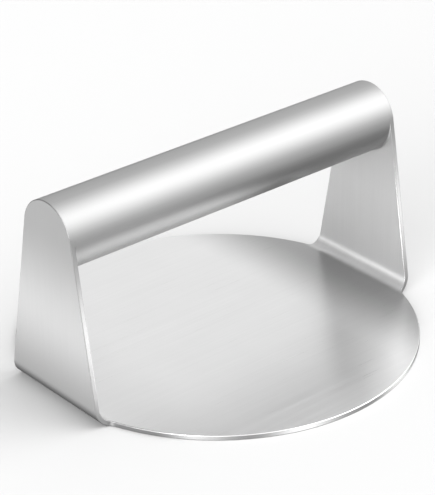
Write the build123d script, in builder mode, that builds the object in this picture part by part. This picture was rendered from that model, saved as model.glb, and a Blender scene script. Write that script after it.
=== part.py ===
from build123d import *
from math import asin, atan2, cos, hypot, radians, sin, sqrt, tan
import os

# A round bacon and burger press: one folded stainless sheet with a welded tube handle.
# Millimetres, +Z up. The pressing face rests on z = 0 and the origin is its centre.
# +X runs along the handle, from the left ear to the right ear.

# Driving dimensions
disc_diameter = 142.0
sheet_thickness = 1.8
bend_inner_radius = 4.5
ear_span = 144.0  # between the outer faces of the ears
tube_diameter = 25.0
tube_wall = 1.2
tube_centre_height = 62.5
ear_foot_half_width = 23.6  # where the ear's straight side would meet z = 0
notch_radius = 3.0  # inside corner of the blank, between the disc and the ear's side
weld_leg = 0.8
bend_step_angle = 7.5  # spacing of the sections that trim the bend, in degrees

# Worked out from them
disc_radius = disc_diameter / 2
tube_radius = tube_diameter / 2
bend_outer_radius = bend_inner_radius + sheet_thickness
bend_line = ear_span / 2 - bend_outer_radius  # the flat plate ends here and the bend begins
ear_inner_face = ear_span / 2 - sheet_thickness
tube_length = 2 * ear_inner_face

# The ear's side is a straight line, tangent to the round top of the ear.
side_lean = atan2(ear_foot_half_width, tube_centre_height) - asin(
    tube_radius / hypot(ear_foot_half_width, tube_centre_height)
)
side_top = (tube_radius * cos(side_lean), tube_centre_height + tube_radius * sin(side_lean))
ear_foot = (ear_foot_half_width - bend_outer_radius * tan(side_lean), bend_outer_radius)


def blank_half_width(distance):
    """Half width of the flat blank, at a distance past the bend line measured along the sheet.

    The blank is the disc joined to a tapered ear, with a small round inside corner.
    """
    bend_length = (bend_inner_radius + sheet_thickness / 2) * radians(90)
    side_slope = tan(side_lean)
    side_at_bend_line = ear_foot[0] + side_slope * bend_length
    # The corner arc's centre is one notch radius outside both the disc and the ear's side.
    offset_side = side_at_bend_line + notch_radius / cos(side_lean) + side_slope * bend_line
    reach = disc_radius + notch_radius
    a = 1 + side_slope**2
    b = -2 * side_slope * offset_side
    c = offset_side**2 - reach**2
    centre_x = (-b + sqrt(b**2 - 4 * a * c)) / (2 * a)
    centre_y = offset_side - side_slope * centre_x
    disc_tangent_x = centre_x * disc_radius / reach
    side_tangent_x = centre_x - notch_radius * sin(side_lean)
    x = bend_line + distance
    if x < disc_tangent_x:
        return sqrt(disc_radius**2 - x**2)
    if x < side_tangent_x:
        return centre_y - sqrt(notch_radius**2 - (x - centre_x) ** 2)
    return side_at_bend_line - side_slope * distance


def bend_plane(angle):
    """Plane through the right bend's axis, turned by an angle up from straight down."""
    turn = radians(angle)
    return Plane(
        origin=(bend_line, 0, bend_outer_radius),
        x_dir=(sin(turn), 0, -cos(turn)),
        z_dir=(cos(turn), 0, sin(turn)),
    )


# Right bend: a quarter of a pipe wall, trimmed to the outline of the folded blank
with BuildPart() as right_bend:
    with BuildSketch(Plane.XZ):
        with Locations((bend_line, bend_outer_radius)):
            Circle(bend_outer_radius)
            Circle(bend_inner_radius, mode=Mode.SUBTRACT)
        with Locations((bend_line + bend_outer_radius / 2, bend_outer_radius / 2)):
            Rectangle(bend_outer_radius, bend_outer_radius, mode=Mode.INTERSECT)
    extrude(amount=disc_radius, both=True)
    section_width = bend_outer_radius + sheet_thickness
    step_count = round(90 / bend_step_angle)
    for step in range(step_count + 1):
        angle = step * bend_step_angle
        distance = radians(angle) * (bend_inner_radius + sheet_thickness / 2)
        with BuildSketch(bend_plane(angle)):
            with Locations((section_width / 2 + sheet_thickness / 2, 0)):
                Rectangle(section_width, 2 * blank_half_width(distance))
    loft(mode=Mode.INTERSECT)

# Folded sheet: the flat round plate, an ear at each side and the bends between them
with BuildPart() as press_plate:
    with BuildSketch():
        Circle(disc_radius)
        Rectangle(2 * bend_line, disc_diameter, mode=Mode.INTERSECT)
    extrude(amount=sheet_thickness)
    with BuildSketch(Plane.YZ.offset(ear_inner_face)):
        with BuildLine():
            Line((-ear_foot[0], ear_foot[1]), (ear_foot[0], ear_foot[1]))
            Line((ear_foot[0], ear_foot[1]), side_top)
            ThreePointArc(
                side_top, (0, tube_centre_height + tube_radius), (-side_top[0], side_top[1])
            )
            Line((-side_top[0], side_top[1]), (-ear_foot[0], ear_foot[1]))
        make_face()
    extrude(amount=sheet_thickness)
    add(right_bend.part)
    mirror(about=Plane.YZ)
press_plate.part.label = "press_plate"

# Handle: a round tube with square ends, butted against the inner faces of the ears
with BuildPart() as handle_tube:
    with BuildSketch(Plane.YZ.offset(-ear_inner_face)):
        with Locations((0, tube_centre_height)):
            Circle(tube_radius)
            Circle(tube_radius - tube_wall, mode=Mode.SUBTRACT)
    extrude(amount=tube_length)
handle_tube.part.label = "handle_tube"

# Weld under the tube's right end: a flat-faced fillet, cut off at the sides of the ear
with BuildPart() as right_weld_bead:
    tube_underside = tube_centre_height - tube_radius
    with BuildSketch(Plane.XZ):
        Polygon(
            (ear_inner_face, tube_underside),
            (ear_inner_face - weld_leg, tube_underside),
            (ear_inner_face, tube_underside - weld_leg),
            align=None,
        )
    revolve(axis=Axis((0, 0, tube_centre_height), (1, 0, 0)))
    with BuildSketch(Plane.YZ.offset(ear_inner_face)):
        Polygon(
            (-ear_foot[0], ear_foot[1]),
            ear_foot,
            side_top,
            (-side_top[0], side_top[1]),
            align=None,
        )
    extrude(amount=-2 * weld_leg, mode=Mode.INTERSECT)
right_weld_bead.part.label = "right_weld_bead"

# Weld under the tube's left end
with BuildPart() as left_weld_bead:
    mirror(right_weld_bead.part, about=Plane.YZ)
left_weld_bead.part.label = "left_weld_bead"

os.makedirs("parts", exist_ok=True)
export_step(press_plate.part, "parts/press_plate.step")
export_step(handle_tube.part, "parts/handle_tube.step")
export_step(left_weld_bead.part, "parts/left_weld_bead.step")
export_step(right_weld_bead.part, "parts/right_weld_bead.step")
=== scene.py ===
from math import asin, atan2, cos, hypot, log, pi, radians, sin, sqrt, tan

import bpy
from mathutils import Matrix, Vector


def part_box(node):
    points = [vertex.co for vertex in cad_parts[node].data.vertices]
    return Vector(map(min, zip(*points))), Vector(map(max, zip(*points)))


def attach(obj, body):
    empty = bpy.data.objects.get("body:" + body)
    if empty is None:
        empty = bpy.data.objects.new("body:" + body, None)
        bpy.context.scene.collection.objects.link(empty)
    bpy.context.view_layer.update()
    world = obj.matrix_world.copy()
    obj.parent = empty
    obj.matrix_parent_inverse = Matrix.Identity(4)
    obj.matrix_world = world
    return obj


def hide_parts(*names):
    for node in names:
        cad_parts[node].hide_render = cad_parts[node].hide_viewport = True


# Looks for a round bacon press: a folded stainless sheet with a welded tube handle. Metres, +Z up.

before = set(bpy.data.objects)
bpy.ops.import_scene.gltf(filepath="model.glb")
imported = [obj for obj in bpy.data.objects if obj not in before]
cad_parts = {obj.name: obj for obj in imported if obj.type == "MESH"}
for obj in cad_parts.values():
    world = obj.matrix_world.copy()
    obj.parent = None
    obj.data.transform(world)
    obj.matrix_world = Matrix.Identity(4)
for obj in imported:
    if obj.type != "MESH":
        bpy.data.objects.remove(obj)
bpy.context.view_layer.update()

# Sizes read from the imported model
plate_low, plate_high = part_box("press_plate")
tube_low, tube_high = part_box("handle_tube")
EAR_OUTER = plate_high.x
EAR_INNER = tube_high.x
DISC_RADIUS = plate_high.y
SHEET = EAR_OUTER - EAR_INNER
TUBE_RADIUS = tube_high.y
TUBE_HEIGHT = (tube_low.z + tube_high.z) / 2

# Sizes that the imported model's boxes don't give
BEND_INNER = 0.0045
EAR_FOOT_HALF_WIDTH = 0.0236
NOTCH_RADIUS = 0.003
TUBE_WALL = 0.0012
WELD_LEG = 0.0006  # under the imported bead's 0.0008, so that the hollow fillet stays inside it
EDGE_ROUND = 0.0003
EDGE_ROUND_STEPS = 4
FLUSH_ROUND = EDGE_ROUND / 15  # of the edge that is ground flush with the tube
WELD_BLEND = 0.004  # below the tube, the ear's inner edge goes from flush to rounded over this length

# Finish, and painted shade. A tint is a grey base colour. A share of painted shade below is the share of
# the tint that is lost there.
SHEET_TINT = 0.73
# The tube is the same steel as the sheet, tinted far darker: painted shade.
TUBE_TINT = 0.34
# The cut edge is tinted brighter than the sheet's steel: a painted highlight.
EDGE_TINT = 0.93
WELD_TINT = 0.6
PLATE_ROUGHNESS = 0.3
EAR_ROUGHNESS = 0.5
TUBE_ROUGHNESS = 0.36
EDGE_ROUGHNESS = 0.2
CORNER_ROUGHNESS = 0.42  # of the cut edge, where it isn't polished
WELD_ROUGHNESS = (0.32, 0.42)
PLATE_METALLIC = 1.0
EAR_METALLIC = 0.7  # the coarser brushing scatters part of the light
SHEET_STREAKS = 0.06  # how much darker the darkest brush lines are
TUBE_STREAKS = 0.05
FINE_SHARE = 0.6  # of the fine grain in the brush lines; the rest is the broad grain
SHEET_ANISOTROPY = 0.6
TUBE_ANISOTROPY = 0.7
LEFT_PLATE_PAINTED_SHADE = 0.08  # slight painted shade beside the left bend
RIGHT_PLATE_PAINTED_SHADE = 0.56  # strong painted shade beside the right bend
PAINTED_SHADE_REACH = 0.034  # from the bend line
EAR_TOP_PAINTED_SHADE = 0.35  # painted shade round the tube, at the top of each ear
FOOT_PAINTED_SHADE = 0.42  # painted shade low on the outside of the ears
BEND_PAINTED_SHADE = 0.35  # painted shade on the outside of the bends
CORNER_PAINTED_SHADE = 0.6  # painted shade on the cut edge at the corners, where it also isn't polished
CORNER_START = 0.014  # before the bend line, where the disc's cut edge begins to turn rough and take painted shade
CORNER_END = 0.005  # and where it is fully rough and shaded
UNSHADED_EAR_HEIGHT = 0.032  # where an ear is brightest, clear of painted shade
EAR_SHADE_REACH = 0.034  # and how far from there the painted shade grows in, and the cut edge's polish fades
FINISH_AND_SHADE_BLEND = 0.004  # length over which the finish and the painted shade change at a bend

# Patterns. A scale is noise cells per metre: along the grain, across it, and through the sheet.
FINE_GRAIN = (40, 5200, 900)
BROAD_GRAIN = (14, 900, 300)
SHEET_CLOUD = (60, 60, 60)
EDGE_LINES = (90, 90, 6000)
EDGE_CLOUD = (160, 160, 160)
WELD_GRIT = (1800, 1800, 1800)
LINE_BUMP = 0.00002
GRIT_BUMP = 0.00003

# Light. Each glow is (azimuth from +X, elevation, half width, strength), with angles in degrees,
# and a negative strength shades the room round that direction.
ROOM_LEVEL = 0.63
UPPER_GLOWS = (
    (-34, 41, 27, 3.5),
    (52, 28, 24, 0.47),
    (20, 22, 16, -0.4),
    (165, 58, 15, 0.7),
    (201, 8, 18, 11.5),
    (130, 28, 29, -0.68),
)
FLOOR_LEVEL = 0.22
LOWER_GLOWS = (
    (136, -22, 24, 0.9),
    (-146, -27, 15, 0.9),
    (-82, -27, 13, 1.3),
    (-6, -27, 13, 0.9),
    (-54, -11, 11, 1.0),
)
HORIZON_BLEND = 0.12  # sine of the elevation at which either half of the room has fully taken over
FLOOR_TINT = 0.65

# The folded sheet, worked out from the sizes above
BEND_OUTER = BEND_INNER + SHEET
BEND_MIDDLE = BEND_INNER + SHEET / 2
BEND_LENGTH = BEND_MIDDLE * pi / 2
BEND_LINE = EAR_OUTER - BEND_OUTER
BEND_END = BEND_LINE + BEND_LENGTH
EAR_MIDDLE = BEND_END + UNSHADED_EAR_HEIGHT - BEND_OUTER
LEAN = atan2(EAR_FOOT_HALF_WIDTH, TUBE_HEIGHT) - asin(
    TUBE_RADIUS / hypot(EAR_FOOT_HALF_WIDTH, TUBE_HEIGHT)
)
ARC_CENTRE = BEND_END + TUBE_HEIGHT - BEND_OUTER  # of the ear's round top, unfolded


# ---------------------------------------------------------------- the sheet, unfolded and folded


def notch_centre():
    """Centre of the round inside corner between the disc and the ear's side, on the unfolded sheet."""
    slope = tan(LEAN)
    side_at_zero = EAR_FOOT_HALF_WIDTH - BEND_OUTER * slope + slope * BEND_END
    offset = side_at_zero + NOTCH_RADIUS / cos(LEAN)
    reach = DISC_RADIUS + NOTCH_RADIUS
    a = 1 + slope**2
    b = -2 * slope * offset
    c = offset**2 - reach**2
    x = (-b + sqrt(b**2 - 4 * a * c)) / (2 * a)
    return x, offset - slope * x


def quarter_outline():
    """A quarter of the unfolded outline, from the ear's tip to the disc's front: (u, v, normal angle)."""
    points = []
    side_angle = pi / 2 - LEAN
    arc_steps = 40
    for step in range(arc_steps + 1):
        angle = side_angle * step / arc_steps
        points.append((ARC_CENTRE + TUBE_RADIUS * cos(angle), TUBE_RADIUS * sin(angle), angle))
    centre_u, centre_v = notch_centre()
    corner_angle = atan2(centre_v, centre_u)
    side_start = points[-1]
    side_end = (
        centre_u - NOTCH_RADIUS * cos(side_angle),
        centre_v - NOTCH_RADIUS * sin(side_angle),
    )
    side_steps = 110
    for step in range(1, side_steps):
        share = step / side_steps
        u = side_start[0] + share * (side_end[0] - side_start[0])
        v = side_start[1] + share * (side_end[1] - side_start[1])
        points.append((u, v, side_angle))
    notch_steps = 12
    for step in range(notch_steps + 1):
        angle = side_angle + (corner_angle - side_angle) * step / notch_steps
        points.append(
            (centre_u - NOTCH_RADIUS * cos(angle), centre_v - NOTCH_RADIUS * sin(angle), angle)
        )
    disc_steps = 96
    for step in range(1, disc_steps + 1):
        angle = corner_angle + (pi / 2 - corner_angle) * step / disc_steps
        points.append((DISC_RADIUS * cos(angle), DISC_RADIUS * sin(angle), angle))
    return points


def fold(u, v, height, normal):
    """Folds a point of the unfolded sheet, and its normal (along u, along v, across the sheet)."""
    side = 1 if u >= 0 else -1
    past = abs(u) - BEND_LINE
    along, up = normal[0] * side, normal[2]
    angle = min(max(past / BEND_MIDDLE, 0.0), pi / 2)
    radius = BEND_OUTER - height
    x = min(abs(u), BEND_LINE) + radius * sin(angle)
    z = BEND_OUTER - radius * cos(angle) + max(past - BEND_LENGTH, 0.0)
    out = along * cos(angle) - up * sin(angle)
    rise = along * sin(angle) + up * cos(angle)
    return Vector((side * x, v, z)), Vector((side * out, normal[1], rise)).normalized()


class Surface:
    """Gathers faces that carry their exact normals, and makes one closed mesh of them."""

    def __init__(self):
        self.index = {}
        self.places = []
        self.developed = []
        self.faces = []
        self.normals = []
        self.slots = []

    def corner(self, place, normal, developed=(0, 0, 0)):
        key = tuple(round(value * 1e7) for value in place)
        if key not in self.index:
            self.index[key] = len(self.places)
            self.places.append(Vector(place))
            self.developed.append(tuple(developed))
        return self.index[key], Vector(normal)

    def face(self, corners, slot=0):
        kept = [c for k, c in enumerate(corners) if c[0] != corners[k - 1][0]]
        if len(kept) < 3:
            return
        a, b, c = (self.places[corner[0]] for corner in (kept[0], kept[1], kept[-1]))
        facing = sum((corner[1] for corner in kept), Vector())
        if (b - a).cross(c - a).dot(facing) < 0:
            kept.reverse()
        self.faces.append([corner[0] for corner in kept])
        self.normals.extend(corner[1] for corner in kept)
        self.slots.append(slot)

    def grid(self, rows, slots):
        """Faces between neighbouring rows. slots is one slot number, or one for each pair of rows."""
        for number, (row, following) in enumerate(zip(rows, rows[1:])):
            slot = slots if isinstance(slots, int) else slots[number]
            for k in range(len(row) - 1):
                self.face([row[k], row[k + 1], following[k + 1], following[k]], slot)

    def make(self, name, materials):
        mesh = bpy.data.meshes.new(name)
        mesh.from_pydata(self.places, [], self.faces)
        for material in materials:
            mesh.materials.append(material)
        mesh.polygons.foreach_set("material_index", self.slots)
        mesh.polygons.foreach_set("use_smooth", [True] * len(self.faces))
        developed = mesh.attributes.new("developed", "FLOAT_VECTOR", "POINT")
        developed.data.foreach_set("vector", [value for place in self.developed for value in place])
        mesh.normals_split_custom_set(self.normals)
        piece = bpy.data.objects.new(name, mesh)
        bpy.context.scene.collection.objects.link(piece)
        return piece


# ---------------------------------------------------------------- the pieces


def press_plate(materials):
    """The folded sheet: flat disc, bends and ears as one mesh, with every cut edge rounded."""
    columns = 16
    quarter = quarter_outline()
    mirrored = [(-u, v, pi - angle) for u, v, angle in reversed(quarter[:-1])]
    stations = quarter + mirrored
    blend_start = ARC_CENTRE + TUBE_RADIUS * sin(LEAN)  # where the ear's side meets its round top

    def inner_round(u):
        """Edge radius on the ear's inner side: nearly none where the tube's weld is ground flush."""
        share = min(max((blend_start - abs(u)) / WELD_BLEND, 0.0), 1.0)
        return FLUSH_ROUND + (EDGE_ROUND - FLUSH_ROUND) * share * share * (3 - 2 * share)

    surface = Surface()

    def corner(u, v, height, normal):
        place, folded = fold(u, v, height, normal)
        return surface.corner(place, folded, (u, v, height))

    tops, bottoms, edges = [], [], {1: [], -1: []}
    for u, v, angle in stations:
        out_u, out_v = cos(angle), sin(angle)
        upper, lower = inner_round(u), EDGE_ROUND
        for rows, radius, height, up in ((tops, upper, SHEET, 1), (bottoms, lower, 0, -1)):
            inner_u, inner_v = u - radius * out_u, v - radius * out_v
            shares = [2 * k / columns - 1 for k in range(columns + 1)]
            rows.append([corner(inner_u, share * inner_v, height, (0, 0, up)) for share in shares])
        for side in (1, -1):
            row = []
            for radius, first in ((upper, 0), (lower, 1)):
                for step in range(EDGE_ROUND_STEPS + 1):
                    turn = (first + step / EDGE_ROUND_STEPS) * pi / 2
                    inset = radius * (1 - sin(turn))
                    height = SHEET - radius * (1 - cos(turn)) if first == 0 else radius * (1 + cos(turn))
                    normal = (out_u * sin(turn), side * out_v * sin(turn), cos(turn))
                    row.append(corner(u - inset * out_u, side * (v - inset * out_v), height, normal))
            edges[side].append(row)
    surface.grid(tops, 0)
    surface.grid(bottoms, 0)
    # Round the top, the edge is ground together with the tube and has the tube's finish.
    tip = blend_start + FLUSH_ROUND
    edge_slots = [2 if min(abs(a[0]), abs(b[0])) > tip else 1 for a, b in zip(stations, stations[1:])]
    for side in (1, -1):
        surface.grid(edges[side], edge_slots)
    return surface.make("folded_plate", materials)


def handle_tube(materials):
    """The tube, with its bore, between the inner faces of the ears."""
    around, along = 160, 24
    surface = Surface()
    centre = Vector((0, 0, TUBE_HEIGHT))

    def ring(x, radius, normal):
        row = []
        for step in range(around + 1):
            angle = 2 * pi * (step % around) / around
            out = Vector((0, cos(angle), sin(angle)))
            way = out * normal if isinstance(normal, int) else Vector(normal)
            place = centre + Vector((x, 0, 0)) + out * radius
            row.append(surface.corner(place, way, (x, angle * radius, 0)))
        return row

    places = [EAR_INNER * (2 * k / along - 1) for k in range(along + 1)]
    bore = TUBE_RADIUS - TUBE_WALL
    surface.grid([ring(x, TUBE_RADIUS, 1) for x in places], 0)
    surface.grid([ring(x, bore, -1) for x in places], 0)
    for side in (1, -1):
        end = (side, 0, 0)
        surface.grid([ring(side * EAR_INNER, radius, end) for radius in (bore, TUBE_RADIUS)], 0)
    return surface.make("satin_tube", materials)


def weld_bead(side, name, materials):
    """A small hollow fillet under one end of the tube. It runs out where the ear's side meets the tube."""
    surface = Surface()
    steps, across = 96, 8
    reach = pi / 2 + LEAN
    end_centre = Vector((side * EAR_INNER, 0, TUBE_HEIGHT))
    along = Vector((side, 0, 0))
    hollow, on_ear, on_tube = [], [], []
    for step in range(steps + 1):
        turn = reach * (2 * step / steps - 1)
        out = Vector((0, sin(turn), -cos(turn)))
        past = abs(turn) - LEAN
        room = TUBE_RADIUS / sin(past) - TUBE_RADIUS if past > 0 else TUBE_RADIUS
        room = min(room, TUBE_RADIUS)
        leg = WELD_LEG * room / (room + WELD_LEG / 2)
        row = []
        for k in range(across + 1):
            bend = pi / 2 * k / across
            place = end_centre - along * leg * (1 - sin(bend))
            place += out * (TUBE_RADIUS + leg * (1 - cos(bend)))
            row.append(surface.corner(place, out * cos(bend) - along * sin(bend), place))
        hollow.append(row)
        root = end_centre + out * TUBE_RADIUS
        on_ear.append([surface.corner(root, along), (row[-1][0], along)])
        on_tube.append([surface.corner(root, -out), (row[0][0], -out)])
    for rows in (hollow, on_ear, on_tube):
        surface.grid(rows, 0)
    return surface.make(name, materials)


# ---------------------------------------------------------------- materials


class Nodes:
    """Short ways to add nodes to a node tree."""

    def __init__(self, tree):
        self.tree = tree

    def add(self, kind, settings=None, **inputs):
        node = self.tree.nodes.new(kind)
        for key, value in (settings or {}).items():
            setattr(node, key, value)
        for key, value in inputs.items():
            self.put(node, key, value)
        return node

    def put(self, node, key, value):
        socket = node.inputs[int(key[1:]) if key[0] == "_" and key[1:].isdigit() else key]
        if isinstance(value, bpy.types.NodeSocket):
            self.tree.links.new(value, socket)
        else:
            socket.default_value = value

    def maths(self, operation, *values):
        node = self.add("ShaderNodeMath", {"operation": operation})
        for number, value in enumerate(values):
            self.put(node, f"_{number}", value)
        return node.outputs[0]

    def scaled(self, place, scale):
        node = self.add("ShaderNodeVectorMath", {"operation": "MULTIPLY"}, _0=place, _1=scale)
        return node.outputs[0]

    def noise(self, place, detail=2.0, roughness=0.5):
        node = self.add("ShaderNodeTexNoise", Vector=place, Scale=1.0, Detail=detail, Roughness=roughness)
        return node.outputs["Fac"]

    def ranged(self, value, low, high, start=0.3, end=0.7, smooth=False):
        kind = "SMOOTHSTEP" if smooth else "LINEAR"
        node = self.add("ShaderNodeMapRange", {"interpolation_type": kind})
        for number, item in enumerate((value, start, end, low, high)):
            self.put(node, f"_{number}", item)
        return node.outputs["Result"]

    def grey(self, tint, shade):
        node = self.add("ShaderNodeVectorMath", {"operation": "SCALE"}, _0=(tint,) * 3, Scale=shade)
        return node.outputs[0]


class Metal(Nodes):
    """A metal material on a Principled BSDF, with the unfolded position that its patterns follow."""

    def __init__(self, name):
        self.material = bpy.data.materials.new(name)
        self.material.use_nodes = True
        super().__init__(self.material.node_tree)
        self.shader = self.tree.nodes["Principled BSDF"]
        self.set("Metallic", 1.0)
        self.place = self.add("ShaderNodeAttribute", {"attribute_name": "developed"}).outputs["Vector"]

    def set(self, key, value):
        self.put(self.shader, key, value)


def brushed(name, tint, streak_depth, anisotropic, tangent, finish_and_shade):
    """Brushed stainless steel. The grain runs along the unfolded sheet, or along the tube.

    tangent(metal) gives the direction across the grain, and the last argument, called on the metal, gives
    the roughness, the share of the tint that is left after any painted shade, and the metallic share.
    """
    metal = Metal(name)
    fine = metal.noise(metal.scaled(metal.place, FINE_GRAIN), 3.0, 0.6)
    broad = metal.noise(metal.scaled(metal.place, BROAD_GRAIN), 2.0, 0.5)
    cloud = metal.noise(metal.scaled(metal.place, SHEET_CLOUD), 1.0, 0.5)
    streaks = metal.maths("MULTIPLY", broad, 1 - FINE_SHARE)
    streaks = metal.maths("MULTIPLY_ADD", fine, FINE_SHARE, streaks)
    roughness, kept, metallic = finish_and_shade(metal)
    shade = metal.maths("MULTIPLY", metal.ranged(streaks, 1 - streak_depth, 1.0), kept)
    shade = metal.maths("MULTIPLY", shade, metal.ranged(cloud, 0.985, 1.0))
    metal.set("Base Color", metal.grey(tint, shade))
    metal.set("Roughness", metal.maths("MULTIPLY", roughness, metal.ranged(streaks, 0.9, 1.1)))
    metal.set("Metallic", metallic)
    metal.set("Anisotropic", anisotropic)
    metal.set("Tangent", tangent(metal))
    bump = metal.add("ShaderNodeBump", Strength=0.05, Distance=LINE_BUMP, Height=streaks)
    metal.set("Normal", bump.outputs[0])
    return metal.material


def band(metal, value, rise_start, rise_end, fall_start, fall_end):
    """1 where the value is between rise_end and fall_start, with a smooth slope on either side."""
    rise = metal.ranged(value, 0.0, 1.0, rise_start, rise_end, smooth=True)
    fall = metal.ranged(value, 1.0, 0.0, fall_start, fall_end, smooth=True)
    return metal.maths("MULTIPLY", rise, fall)


def from_middle(metal):
    """Distance from the plate's centre line, along the unfolded sheet."""
    return metal.maths("ABSOLUTE", metal.add("ShaderNodeSeparateXYZ", _0=metal.place).outputs["X"])


def sheet_finish_and_shade(metal):
    """The ears are brushed more coarsely than the plate. Painted shade darkens the ears towards the
    tube, the plate beside the bends, most beside the right bend, and, outside, the bends and the
    foot of each ear."""
    along = from_middle(metal)
    roughness = metal.ranged(along, PLATE_ROUGHNESS, EAR_ROUGHNESS, BEND_LINE, BEND_END, smooth=True)
    blend_end = BEND_LINE + FINISH_AND_SHADE_BLEND
    metallic = metal.ranged(along, PLATE_METALLIC, EAR_METALLIC, BEND_LINE, blend_end, smooth=True)
    # Painted shade: the ears' colour darkens towards the tube.
    ear_top = EAR_MIDDLE + EAR_SHADE_REACH
    kept = metal.ranged(along, 1.0, 1 - EAR_TOP_PAINTED_SHADE, EAR_MIDDLE, ear_top, smooth=True)
    # Painted shade on the plate beside the bends, far darker beside the right bend than the left.
    shade_start, shade_end = BEND_LINE - PAINTED_SHADE_REACH, BEND_LINE - FINISH_AND_SHADE_BLEND
    unshaded_start = BEND_LINE - FINISH_AND_SHADE_BLEND / 4
    beside = band(metal, along, shade_start, shade_end, unshaded_start, unshaded_start + FINISH_AND_SHADE_BLEND)
    to_right = metal.add("ShaderNodeSeparateXYZ", _0=metal.place).outputs["X"]
    middle = PAINTED_SHADE_REACH / 2  # half the width of the plate's middle, where neither side's value counts
    plate_shade = metal.ranged(to_right, LEFT_PLATE_PAINTED_SHADE, RIGHT_PLATE_PAINTED_SHADE, -middle, middle)
    kept = metal.maths("SUBTRACT", kept, metal.maths("MULTIPLY", beside, plate_shade))
    # Painted shade outside, at the foot of each ear and on the bends.
    foot = band(metal, along, shade_end, BEND_LINE, blend_end, EAR_MIDDLE)
    # Painted shade on the outside of the bends.
    bend_shade_full = BEND_LINE + FINISH_AND_SHADE_BLEND / 2
    bend_shade_end = BEND_END + FINISH_AND_SHADE_BLEND / 4
    bend_shade_mask = band(metal, along, shade_end, bend_shade_full, bend_shade_end - FINISH_AND_SHADE_BLEND, bend_shade_end)
    outer_shade = metal.maths("MULTIPLY_ADD", foot, FOOT_PAINTED_SHADE, metal.maths("MULTIPLY", bend_shade_mask, BEND_PAINTED_SHADE))
    height = metal.add("ShaderNodeSeparateXYZ", _0=metal.place).outputs["Z"]
    outside = metal.ranged(height, 1.0, 0.0, 0.0, SHEET)
    kept = metal.maths("SUBTRACT", kept, metal.maths("MULTIPLY", outer_shade, outside))
    return roughness, kept, metallic


def tube_finish(metal):
    """The tube is brushed evenly."""
    return TUBE_ROUGHNESS, 1.0, 1.0


def across_sheet(metal):
    """Across the sheet's grain, on the disc, the bends and the ears alike."""
    return metal.add("ShaderNodeCombineXYZ", X=0.0, Y=1.0, Z=0.0).outputs[0]


def round_tube(metal):
    """Round the tube, across its lengthwise grain."""
    normal = metal.add("ShaderNodeNewGeometry").outputs["Normal"]
    node = metal.add("ShaderNodeVectorMath", {"operation": "CROSS_PRODUCT"}, _0=(1, 0, 0), _1=normal)
    return node.outputs[0]


def polished_edge_and_shade():
    """The cut edge: polished round the disc and halfway up the ears, rougher at the corners, where painted
    shade darkens it.
    """
    metal = Metal("polished_edge_and_shade")
    lines = metal.noise(metal.scaled(metal.place, EDGE_LINES), 2.0, 0.5)
    cloud = metal.noise(metal.scaled(metal.place, EDGE_CLOUD), 2.0, 0.5)
    along = from_middle(metal)
    ear_start, ear_end = EAR_MIDDLE - EAR_SHADE_REACH, EAR_MIDDLE + EAR_SHADE_REACH
    ear = band(metal, along, ear_start, EAR_MIDDLE, EAR_MIDDLE, ear_end)
    disc_start, disc_end = BEND_LINE - CORNER_START, BEND_LINE - CORNER_END
    disc = metal.ranged(along, 1.0, 0.0, disc_start, disc_end, smooth=True)
    polish_and_light = metal.maths("MAXIMUM", ear, disc)
    # Painted shade: the cut edge's colour darkens towards the corners, at the bends and up by the tube.
    shade = metal.maths("MULTIPLY_ADD", polish_and_light, CORNER_PAINTED_SHADE, 1 - CORNER_PAINTED_SHADE)
    shade = metal.maths("MULTIPLY", shade, metal.ranged(cloud, 0.95, 1.0))
    metal.set("Base Color", metal.grey(EDGE_TINT, shade))
    roughness = metal.ranged(polish_and_light, CORNER_ROUGHNESS, EDGE_ROUGHNESS, 0.0, 1.0)
    metal.set("Roughness", metal.maths("MULTIPLY", roughness, metal.ranged(lines, 0.85, 1.15)))
    bump = metal.add("ShaderNodeBump", Strength=0.05, Distance=LINE_BUMP, Height=lines)
    metal.set("Normal", bump.outputs[0])
    return metal.material


def weld_metal():
    """Weld metal, ground and blended: a little darker and rougher than the plate."""
    metal = Metal("weld_metal")
    grit = metal.noise(metal.scaled(metal.place, WELD_GRIT), 2.0, 0.6)
    metal.set("Base Color", metal.grey(WELD_TINT, metal.ranged(grit, 0.9, 1.0)))
    metal.set("Roughness", metal.ranged(grit, *WELD_ROUGHNESS))
    bump = metal.add("ShaderNodeBump", Strength=0.15, Distance=GRIT_BUMP, Height=grit)
    metal.set("Normal", bump.outputs[0])
    return metal.material


# ---------------------------------------------------------------- stage, light and camera


def floor():
    """A plain pale floor. The metal mirrors the room's lower half instead of it."""
    material = bpy.data.materials.new("pale_floor")
    material.use_nodes = True
    shader = material.node_tree.nodes["Principled BSDF"]
    shader.inputs["Base Color"].default_value = (FLOOR_TINT, FLOOR_TINT, FLOOR_TINT, 1)
    shader.inputs["Roughness"].default_value = 0.9
    shader.inputs["Specular IOR Level"].default_value = 0.0
    half = 6.0
    corners = [(-half, -half, 0), (half, -half, 0), (half, half, 0), (-half, half, 0)]
    mesh = bpy.data.meshes.new("floor")
    mesh.from_pydata(corners, [], [(0, 1, 2, 3)])
    mesh.materials.append(material)
    piece = bpy.data.objects.new("floor", mesh)
    piece.visible_glossy = False
    bpy.context.scene.collection.objects.link(piece)


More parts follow.
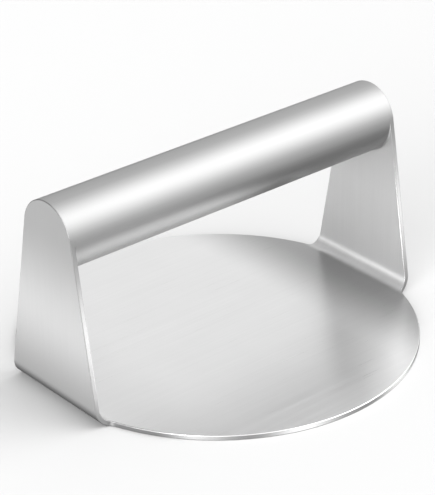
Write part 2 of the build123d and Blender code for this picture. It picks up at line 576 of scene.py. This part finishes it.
def studio():
    """A grey room: a wide soft light above the front right, a strong low one at the left, shaded
    patches at the right and the back left, and pale cards below the horizon."""
    world = bpy.data.worlds.new("studio")
    world.use_nodes = True
    bpy.context.scene.world = world
    nodes = Nodes(world.node_tree)
    way = nodes.add("ShaderNodeTexCoord").outputs["Generated"]

    def glow(azimuth, elevation, half_width, strength):
        """Light from round one direction, at half its strength at half_width degrees from it."""
        turn, rise = radians(azimuth), radians(elevation)
        aim = (cos(turn) * cos(rise), sin(turn) * cos(rise), sin(rise))
        cosine = nodes.add("ShaderNodeVectorMath", {"operation": "DOT_PRODUCT"}, _0=way, _1=aim)
        tightness = log(2) / (1 - cos(radians(half_width)))
        power = nodes.maths("MULTIPLY_ADD", cosine.outputs["Value"], tightness, -tightness)
        return nodes.maths("MULTIPLY", nodes.maths("EXPONENT", power), strength)

    def summed(level, glows):
        for item in glows:
            level = nodes.maths("ADD", level, glow(*item))
        return nodes.maths("MAXIMUM", level, 0.0)

    above = summed(ROOM_LEVEL, UPPER_GLOWS)
    below = summed(FLOOR_LEVEL, LOWER_GLOWS)
    height = nodes.add("ShaderNodeSeparateXYZ", _0=way).outputs["Z"]
    share = nodes.ranged(height, 0.0, 1.0, -HORIZON_BLEND, HORIZON_BLEND, smooth=True)
    level = nodes.add("ShaderNodeMix", {"data_type": "FLOAT"})
    nodes.put(level, "Factor", share)
    nodes.put(level, "A", below)
    nodes.put(level, "B", above)
    background = world.node_tree.nodes["Background"]
    nodes.put(background, "Color", level.outputs["Result"])


def camera():
    """The camera stands on a circle round the press's axis and looks at a point on that axis."""
    azimuth, elevation, roll = radians(-40.56), radians(27.9), radians(-0.32)
    distance, aim_height = 0.761, 0.0334
    back = Vector((sin(azimuth) * cos(elevation), -cos(azimuth) * cos(elevation), sin(elevation)))
    right = Vector((cos(azimuth), sin(azimuth), 0))
    up = back.cross(right)
    turned_right = cos(roll) * right + sin(roll) * up
    turned_up = cos(roll) * up - sin(roll) * right
    data = bpy.data.cameras.new("camera")
    data.lens = 160.0
    data.sensor_width = 36.0
    data.clip_start = 0.01
    eye = bpy.data.objects.new("camera", data)
    turn = Matrix((turned_right, turned_up, back)).transposed().to_4x4()
    eye.matrix_world = Matrix.Translation(Vector((0, 0, aim_height)) + back * distance) @ turn
    bpy.context.scene.collection.objects.link(eye)
    bpy.context.scene.camera = eye


# ---------------------------------------------------------------- the whole scene

sheet_steel = brushed(
    "brushed_sheet", SHEET_TINT, SHEET_STREAKS, SHEET_ANISOTROPY, across_sheet, sheet_finish_and_shade
)
tube_steel = brushed("brushed_tube", TUBE_TINT, TUBE_STREAKS, TUBE_ANISOTROPY, round_tube, tube_finish)
edge_steel = polished_edge_and_shade()
weld_steel = weld_metal()

plate = press_plate([sheet_steel, edge_steel, tube_steel])
tube = handle_tube([tube_steel])
left_weld = weld_bead(-1, "left_weld", [weld_steel])
right_weld = weld_bead(1, "right_weld", [weld_steel])
stands_for = (
    (plate, "press_plate", "stainless_sheet"),
    (tube, "handle_tube", "stainless_tube"),
    (left_weld, "left_weld_bead", "weld_metal"),
    (right_weld, "right_weld_bead", "weld_metal"),
)
for piece, node, slot in stands_for:
    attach(piece, "root")
    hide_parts(node)

floor()
studio()
camera()
bpy.context.scene.view_settings.view_transform = "Standard"
